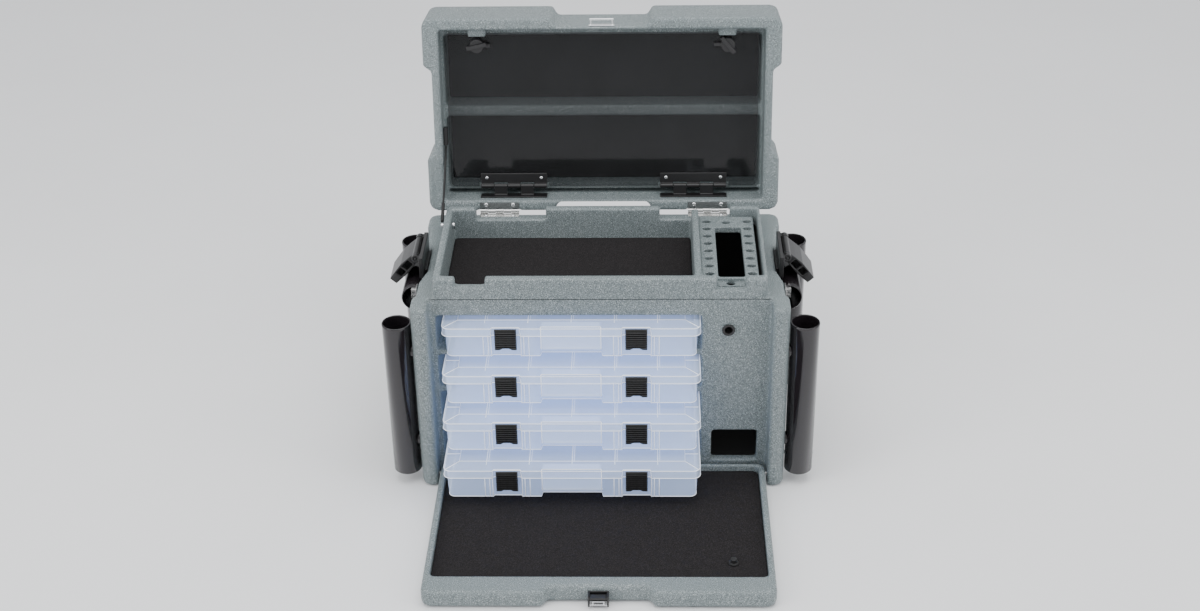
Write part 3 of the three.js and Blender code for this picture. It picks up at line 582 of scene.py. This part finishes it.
def add_screws():
    for word, side in SIDES:
        for k, x in enumerate(LEAF_SCREW_X):
            at = lid_point(side * x, *LID_SCREW)
            head = screw_mesh("s", at, lid_normal(), LEAF_SCREW_RADIUS * MM)
            link(f"lid_leaf_screw_{word}_{k}", head, "chrome", "lid")
            at = Vector((side * x, *BODY_SCREW)) * MM
            head = screw_mesh("s", at, (0, 0, 1), LEAF_SCREW_RADIUS * MM)
            link(f"body_leaf_screw_{word}_{k}", head, "chrome", "body")
        for k, x in enumerate(COVER_SCREW_X):
            at = lid_point(side * x, *COVER_SCREW)
            head = screw_mesh("s", at, lid_normal(), COVER_SCREW_RADIUS * MM)
            link(f"cover_leaf_screw_{word}_{k}", head, "chrome", "cover")


# ---- lid stay ----
def add_stay():
    """A cord from the lid's clip to the bolt, with a thicker sleeve over its lower end."""
    top = lid_point(*STAY_TOP)
    foot = Vector(STAY_FOOT) * MM
    steps = 60
    line = []
    for i in range(steps + 1):
        t = i / steps
        p = top.lerp(foot, t)
        p.z -= STAY_SAG * MM * math.sin(math.pi * t)
        line.append(p)
    cord = tube_mesh("cord", line, CORD_RADIUS * MM, 14)
    for v in cord.vertices:
        v.co.x += 0.2 * MM * math.sin(v.co.z * 2600)
    sleeve = tube_mesh("sleeve", line[-16:], SLEEVE_RADIUS * MM, 16)
    mesh = joined("lid_stay_cord", [cord, sleeve])
    shade(mesh)
    ob = bpy.data.objects.new("lid_stay_cord", mesh)
    bpy.context.scene.collection.objects.link(ob)
    mesh.materials.append(MAT["rubber"])
    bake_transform(ob)
    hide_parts("lid_stay")


# ---- utility trays ----
def loop_mesh(name, levels, cap_bottom=False, cap_top=False):
    """Walls through a list of (points, z) loops that have the same number of points."""
    bm = bmesh.new()
    rings = [[bm.verts.new((x * MM, y * MM, z * MM)) for x, y in pts] for pts, z in levels]
    n = len(rings[0])
    for a, b in zip(rings, rings[1:]):
        for j in range(n if n > 2 else 1):
            bm.faces.new((a[j], a[(j + 1) % n], b[(j + 1) % n], b[j]))
    if cap_bottom:
        bm.faces.new(list(reversed(rings[0])))
    if cap_top:
        bm.faces.new(rings[-1])
    bmesh.ops.recalc_face_normals(bm, faces=bm.faces)
    mesh = bpy.data.meshes.new(name)
    bm.to_mesh(mesh)
    bm.free()
    return mesh


def tray_outline(front, inset, slot, finger, corner=9):
    """Plan of a tray: rounded corners, a slot for each latch and a finger recess in the front."""
    x0, x1 = BOX_X - BOX_W / 2 + inset, BOX_X + BOX_W / 2 - inset
    y0, y1 = front + inset, front + BOX_D - inset
    pts = []

    def arc(cx, cy, a0):
        steps = 6
        for k in range(steps + 1):
            a = math.radians(a0 + 90 * k / steps)
            pts.append((cx + corner * math.cos(a), cy + corner * math.sin(a)))

    arc(x0 + corner, y0 + corner, 180)
    for centre, half, deep in ((BOX_X - LATCH_X, SLOT_HALF, slot), (BOX_X, RECESS_HALF, finger),
                               (BOX_X + LATCH_X, SLOT_HALF, slot)):
        pts.extend([(centre - half - 1, y0), (centre - half + 1, y0 + deep),
                    (centre + half - 1, y0 + deep), (centre + half + 1, y0)])
    arc(x1 - corner, y0 + corner, 270)
    arc(x1 - corner, y1 - corner, 0)
    arc(x0 + corner, y1 - corner, 90)
    return pts


def wires(name, lines, radius):
    return joined(name, [tube_mesh("w", [Vector(p) * MM for p in pts], radius * MM, 8, closed)
                         for pts, closed in lines])


def at_z(points, z):
    return [(x, y, z) for x, y in points]


def inset_corners(front, sides, near, back):
    """Corners of a rectangle inside a tray's plan, from the front left and anticlockwise."""
    x0, x1 = BOX_X - BOX_W / 2 + sides, BOX_X + BOX_W / 2 - sides
    y0, y1 = front + near, front + BOX_D - back
    return [(x0, y0), (x1, y0), (x1, y1), (x0, y1)]


def tray_columns():
    """Where a tray's five cross dividers stand."""
    return [BOX_X - BOX_W / 2 + BOX_W * k / 6 for k in range(1, 6)]


def skirt_foot(front):
    return tray_outline(front, 0.4, 3.6, 0, 11)


def skirt_head(front):
    return tray_outline(front, 0.9, 3.6, 0, 11)


def tray_tub(front, floor):
    """The tub, recessed under the grip, with its dividers as thin sheets."""
    plans = [(6, 10), (5.4, 10), (5.2, 0.2), (4.6, 0.2)]    # inset, and depth of the recess
    walls = loop_mesh("walls", [(tray_outline(front, inset, 3, recess), floor + z)
                                for (inset, recess), z in zip(plans, TUB_Z)], cap_bottom=True)
    dividers = [[(x, front + 18), (x, front + BOX_D - 8)] for x in tray_columns()]
    middle = front + BOX_D / 2
    dividers.append([(BOX_X - BOX_W / 2 + 8, middle), (BOX_X + BOX_W / 2 - 8, middle)])
    sheets = [loop_mesh("d", [(ends, floor + z) for z in DIVIDER_Z]) for ends in dividers]
    return joined("base", [walls, *sheets])


def tray_lid(front, floor):
    """The lid: a skirt with an eased crown, and the grip tab in front of the tub."""
    plans = [skirt_foot(front), skirt_head(front), tray_outline(front, 2.2, 3.8, 0, 10)]
    skirt = loop_mesh("skirt", [(plan, floor + z) for plan, z in zip(plans, SKIRT_Z)], cap_top=True)
    plan = [(BOX_X - TAB_HALF, front + 1), (BOX_X + TAB_HALF, front + 1),
            (BOX_X + TAB_HALF - 2, front + 14), (BOX_X - TAB_HALF + 2, front + 14)]
    tab = loop_mesh("tab", [(plan, floor + z) for z in TAB_Z], cap_top=True)
    return joined("lid", [skirt, tab])


def top_lines(front, floor):
    """Moulded lines of a tray's rim, base and lid, each as points and whether it is closed."""
    top = floor + CROWN_Z
    inner = inset_corners(front, 22, 24, 16)
    back = front + BOX_D - 16
    lines = [(at_z(skirt_foot(front), floor + 36.3), True), (at_z(skirt_head(front), floor + 48), True),
             (at_z(inner, top), True), (at_z(tray_outline(front, 6, 3, 10), floor + 1), True)]
    lines += [([(*a, top - 0.3), (*b, top)], False) for a, b in zip(inset_corners(front, 4, 5, 4), inner)]
    for x in tray_columns():
        lines.append(([(x, front + 16, top - 0.5), (x, back, top - 0.5)], False))
        lines.append(([(x + 3, front + 24, top - 0.6), (x + 3, back, top - 0.6)], False))
    for side in (-1, 1):
        edge, within = BOX_X + side * (BOX_W / 2 - 3), BOX_X + side * (BOX_W / 2 - 22)
        for k in range(4):
            y = front + 42 + 44 * k
            lines.append(([(edge, y, top), (within, y, top)], False))
    return lines


def front_lines(front, floor, side):
    """Lines on one half of a tray's front: the tab's edge, ribs by the latch, and the arch over it."""
    tab, centre = BOX_X + side * TAB_HALF, BOX_X + side * LATCH_X
    y0 = front + LINE_OUT
    lines = [([(tab, y0, floor + TAB_Z[0] + 0.5), (tab, y0, floor + TAB_Z[1])], False)]
    for k in (-1, 1):
        for out, y, foot, head in ((0, 4.6, 1, 37), (4, 5, *RIB_Z), (11, 5, *RIB_Z)):
            x = centre + k * (SLOT_HALF + 1 + out)
            lines.append(([(x, front + y, floor + foot), (x, front + y, floor + head)], False))
    arch = ((-SLOT_HALF - 1, 36), (-SLOT_HALF + 0.5, 50), (SLOT_HALF - 0.5, 50), (SLOT_HALF + 1, 36))
    lines.append(([(centre + x, y0, floor + z) for x, z in arch], False))
    return lines


def tab_lines(front, floor):
    """The upper and lower edges of the grip tab."""
    return [([(BOX_X - half, front + y, floor + z), (BOX_X + half, front + y, floor + z)], False)
            for half, y, z in ((TAB_HALF, 0.8, TAB_Z[1]), (TAB_HALF + 1, 5, TAB_Z[0]))]


def add_tray(n, out):
    floor = LOWEST_FLOOR + PITCH * (len(OUTSTEP) - n)
    front = PANEL_Y - out
    body = f"tray_{n}"
    link(f"{body}_tub", tray_tub(front, floor), "clear", body, [f"{body}_base"])
    link(f"{body}_cover", tray_lid(front, floor), "lid", body, [f"{body}_lid"])
    lines = top_lines(front, floor) + tab_lines(front, floor)
    for _, side in SIDES:
        lines += front_lines(front, floor, side)
    # The moulded lines are real relief, but their near-white glowing colour is a painted highlight along
    # the clear plastic's edges.
    link(f"{body}_ribs", wires("ribs", lines, LINE_RADIUS), "edge", body)
    for word, side in SIDES:
        add_tray_latch(n, front, floor, word, side)


# ---- tray latches ----
def latch_relief(u, t, above_foot):
    """How far a latch's front lies behind its face: ribs stand out, and the edges roll back."""
    phase = (above_foot - RIB_START) / RIB_PITCH
    on_rib = 0 < phase < RIB_COUNT and phase % 1 < 0.5 and abs(u) < 0.93
    ends = 1.6 * max(0.0, abs(t - 0.5) * 2 - 0.93) / 0.07
    sides = 0.8 * max(0.0, abs(u) - 0.94) / 0.06
    return ends + sides - (RIB_HEIGHT if on_rib else 0)


def latch_grid(bm, centre, y, heights, relief):
    """A latch's front or back as a grid of vertices with faces, scooped for a thumb at its foot."""
    z0, z1 = heights
    grid = []
    for i in range(LATCH_ROWS + 1):
        t = i / LATCH_ROWS
        row = []
        for j in range(LATCH_COLUMNS + 1):
            u = j / LATCH_COLUMNS * 2 - 1
            scoop = SCOOP_HEIGHT * max(0.0, 1 - (u * LATCH_HALF / SCOOP_HALF) ** 2)
            z = z0 + scoop + (z1 - z0 - scoop) * t
            depth = latch_relief(u, t, z - z0) if relief else 0
            row.append(bm.verts.new(Vector((centre + u * LATCH_HALF, y + depth, z)) * MM))
        grid.append(row)
    for a, b in zip(grid, grid[1:]):
        for j in range(LATCH_COLUMNS):
            bm.faces.new((a[j], a[j + 1], b[j + 1], b[j]))
    return grid


def rim_of(grid):
    """The four edges of a grid, as rows of vertices."""
    return grid[0], grid[-1], [row[0] for row in grid], [row[-1] for row in grid]


def add_tray_latch(n, front, floor, word, side):
    """A black snap latch with eight cross ribs and a thumb scoop at its foot."""
    centre = BOX_X + side * LATCH_X
    heights = [floor + z for z in LATCH_Z]
    bm = bmesh.new()
    outer = latch_grid(bm, centre, front - LATCH_FACE, heights, relief=True)
    inner = latch_grid(bm, centre, front - LATCH_BACK, heights, relief=False)
    for a, b in zip(rim_of(outer), rim_of(inner)):
        for j in range(len(a) - 1):
            bm.faces.new((a[j], a[j + 1], b[j + 1], b[j]))
    bmesh.ops.recalc_face_normals(bm, faces=bm.faces)
    mesh = bpy.data.meshes.new("latch")
    bm.to_mesh(mesh)
    bm.free()
    node = f"tray_{n}_latch_{word}"
    ob = link(f"tray_{n}_snap_{word}", mesh, "latch", node, [node])
    # Painted shade: the faces between the ribs and on the latch's back get the deeper black, so the ribs
    # read as lighter stripes.
    ob.data.materials.append(MAT["inner"])
    groove, half = (front - GROOVE_OUT) * MM, 0.92 * LATCH_HALF
    for face in mesh.polygons:
        in_shaded_groove = face.center.y > groove and abs(face.center.x / MM - centre) < half
        face.material_index = 1 if in_shaded_groove else 0


add_camera()
add_studio()
add_mouldings()
line_chamber()
add_seam_shadow()
finish_cad()
add_tubes()
add_screws()
add_stay()
for index, step in enumerate(OUTSTEP):
    add_tray(index + 1, step)
